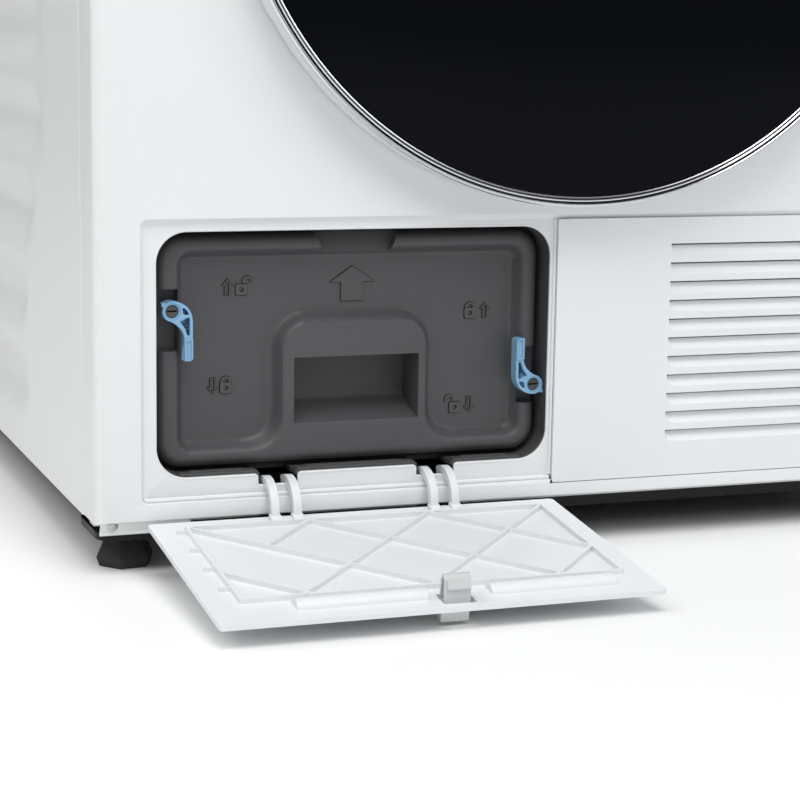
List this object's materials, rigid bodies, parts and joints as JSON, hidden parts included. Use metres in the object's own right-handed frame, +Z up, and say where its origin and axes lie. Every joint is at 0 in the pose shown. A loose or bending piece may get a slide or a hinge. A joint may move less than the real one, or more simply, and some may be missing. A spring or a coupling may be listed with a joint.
{
  "type": "clothes dryer",
  "caption": "Front-loading heat-pump clothes dryer with an open service flap, a locked heat exchanger cover, a vent grille, a round glass door and levelling feet.",
  "frame": {"origin": "on the floor, at the middle of the footprint measured with the service flap open", "axes": "+Z up, the front with the door and the flap faces -Y, +X to the right seen from the front"},
  "size_m": [0.6, 0.7667, 0.85],
  "materials": {
    "painted_steel": "satin white enamel",
    "white_plastic": "fine satin",
    "dark_plastic": "fine grain",
    "black_plastic": "matte",
    "blue_plastic": "satin gloss",
    "grey_plastic": "gloss",
    "chrome": "mirror",
    "dark_glass": "high gloss",
    "clear_glass": "clear",
    "steel": "brushed",
    "galvanised": "galvanised",
    "aluminium": "fin stock",
    "circuit_board": "solder mask",
    "rubber": "matte",
    "tank_plastic": "translucent"
  },
  "bodies": {
    "cabinet": {"front_panel": "painted_steel", "left_side_panel": "painted_steel", "right_side_panel": "painted_steel", "top_panel": "painted_steel", "rear_panel": "galvanised", "base_frame": "black_plastic", "front_bulkhead": "galvanised", "rear_bulkhead": "galvanised", "panel_screw": "steel", "cable_gland": "black_plastic", "drain_spigot": "white_plastic", "vent_grille": "white_plastic", "flap_pin_left": "steel", "flap_pin_right": "steel", "exchanger_housing": "dark_plastic", "evaporator_coil": "aluminium", "condenser_coil": "aluminium", "condensate_pump": "white_plastic", "door_seal": "rubber", "door_hinge_bracket": "steel", "drive_motor": "galvanised", "drive_belt": "rubber", "fan_housing": "dark_plastic", "compressor": "black_plastic", "control_fascia": "painted_steel", "display_window": "dark_glass", "control_board": "circuit_board"},
    "flap": {"access_flap": "white_plastic"},
    "flap_latch": {"flap_latch": "grey_plastic"},
    "cover": {"exchanger_cover": "dark_plastic", "cover_gasket": "rubber", "lever_screw_left": "black_plastic", "lever_screw_right": "black_plastic"},
    "lever_left": {"lever_left": "blue_plastic"},
    "lever_right": {"lever_right": "blue_plastic"},
    "tank": {"tank_front": "painted_steel", "water_tank": "tank_plastic"},
    "filter": {"lint_filter": "white_plastic"},
    "knob": {"program_knob": "chrome"},
    "power_button": {"power_button": "grey_plastic"},
    "start_button": {"start_button": "grey_plastic"},
    "option_button_1": {"option_button_1": "grey_plastic"},
    "option_button_2": {"option_button_2": "grey_plastic"},
    "door": {"door_frame": "painted_steel", "chrome_ring": "chrome", "door_glass": "dark_glass", "door_bowl": "clear_glass", "door_hook": "steel"},
    "drum": {"drum": "steel", "drum_lifter_1": "white_plastic", "drum_lifter_2": "white_plastic", "drum_lifter_3": "white_plastic", "drum_shaft": "steel"},
    "motor_shaft": {"motor_shaft": "steel", "fan_impeller": "white_plastic"},
    "idler": {"idler_pulley": "white_plastic"},
    "foot_front_left": {"foot_front_left": "rubber"},
    "foot_front_right": {"foot_front_right": "rubber"},
    "foot_rear_left": {"foot_rear_left": "rubber"},
    "foot_rear_right": {"foot_rear_right": "rubber"}
  },
  "joints": [
    {"name": "flap_hinge", "type": "hinge", "parent": "cabinet", "child": "flap", "pos_m": [0, -0.21044, 0.036], "axis": [1, 0, 0], "range_deg": [-96.6, 0]},
    {"name": "flap_latch_tilt", "type": "hinge", "parent": "flap", "child": "flap_latch", "pos_m": [-0.1334, -0.36897, 0.01413], "axis": [1, 0, 0], "range_deg": [-6, 0], "stiffness_Nm_per_rad": 0.6},
    {"name": "cover_slide", "type": "slide", "parent": "cabinet", "child": "cover", "axis": [0, -1, 0], "range_m": [0, 0.06]},
    {"name": "lever_left_turn", "type": "hinge", "parent": "cover", "child": "lever_left", "pos_m": [-0.2515, -0.21544, 0.15715], "axis": [0, -1, 0], "range_deg": [0, 90]},
    {"name": "lever_right_turn", "type": "hinge", "parent": "cover", "child": "lever_right", "pos_m": [-0.0175, -0.21544, 0.10395], "axis": [0, -1, 0], "range_deg": [0, 90]},
    {"name": "tank_slide", "type": "slide", "parent": "cabinet", "child": "tank", "axis": [0, -1, 0], "range_m": [0, 0.3]},
    {"name": "filter_slide", "type": "slide", "parent": "cabinet", "child": "filter", "axis": [0, 0, 1], "range_m": [0, 0.012]},
    {"name": "knob_turn", "type": "hinge", "parent": "cabinet", "child": "knob", "pos_m": [0.008, -0.21544, 0.783], "axis": [0, -1, 0], "continuous": true},
    {"name": "power_button_press", "type": "slide", "parent": "cabinet", "child": "power_button", "axis": [0, 1, 0], "range_m": [0, 0.0015], "stiffness_N_per_m": 600},
    {"name": "start_button_press", "type": "slide", "parent": "cabinet", "child": "start_button", "axis": [0, 1, 0], "range_m": [0, 0.0015], "stiffness_N_per_m": 600},
    {"name": "option_button_1_press", "type": "slide", "parent": "cabinet", "child": "option_button_1", "axis": [0, 1, 0], "range_m": [0, 0.0015], "stiffness_N_per_m": 600},
    {"name": "option_button_2_press", "type": "slide", "parent": "cabinet", "child": "option_button_2", "axis": [0, 1, 0], "range_m": [0, 0.0015], "stiffness_N_per_m": 600},
    {"name": "door_hinge", "type": "hinge", "parent": "cabinet", "child": "door", "pos_m": [0.226, -0.22944, 0.448], "axis": [0, 0, 1], "range_deg": [0, 150]},
    {"name": "drum_spin", "type": "hinge", "parent": "cabinet", "child": "drum", "pos_m": [0, -0.21544, 0.48], "axis": [0, 1, 0], "continuous": true},
    {"name": "motor_spin", "type": "hinge", "parent": "cabinet", "child": "motor_shaft", "pos_m": [0.19, -0.21544, 0.125], "axis": [0, 1, 0], "continuous": true},
    {"name": "idler_spin", "type": "hinge", "parent": "cabinet", "child": "idler", "pos_m": [0.175, -0.21544, 0.178], "axis": [0, 1, 0], "continuous": true},
    {"name": "foot_front_left_turn", "type": "hinge", "parent": "cabinet", "child": "foot_front_left", "pos_m": [-0.275, -0.18044, 0], "axis": [0, 0, 1], "continuous": true},
    {"name": "foot_front_right_turn", "type": "hinge", "parent": "cabinet", "child": "foot_front_right", "pos_m": [0.275, -0.18044, 0], "axis": [0, 0, 1], "continuous": true},
    {"name": "foot_rear_left_turn", "type": "hinge", "parent": "cabinet", "child": "foot_rear_left", "pos_m": [-0.275, 0.34456, 0], "axis": [0, 0, 1], "continuous": true},
    {"name": "foot_rear_right_turn", "type": "hinge", "parent": "cabinet", "child": "foot_rear_right", "pos_m": [0.275, 0.34456, 0], "axis": [0, 0, 1], "continuous": true}
  ],
  "couplings": [
    {"joint": "motor_spin", "follows": "drum_spin", "ratio": 18.606},
    {"joint": "idler_spin", "follows": "drum_spin", "ratio": -17.613}
  ]
}
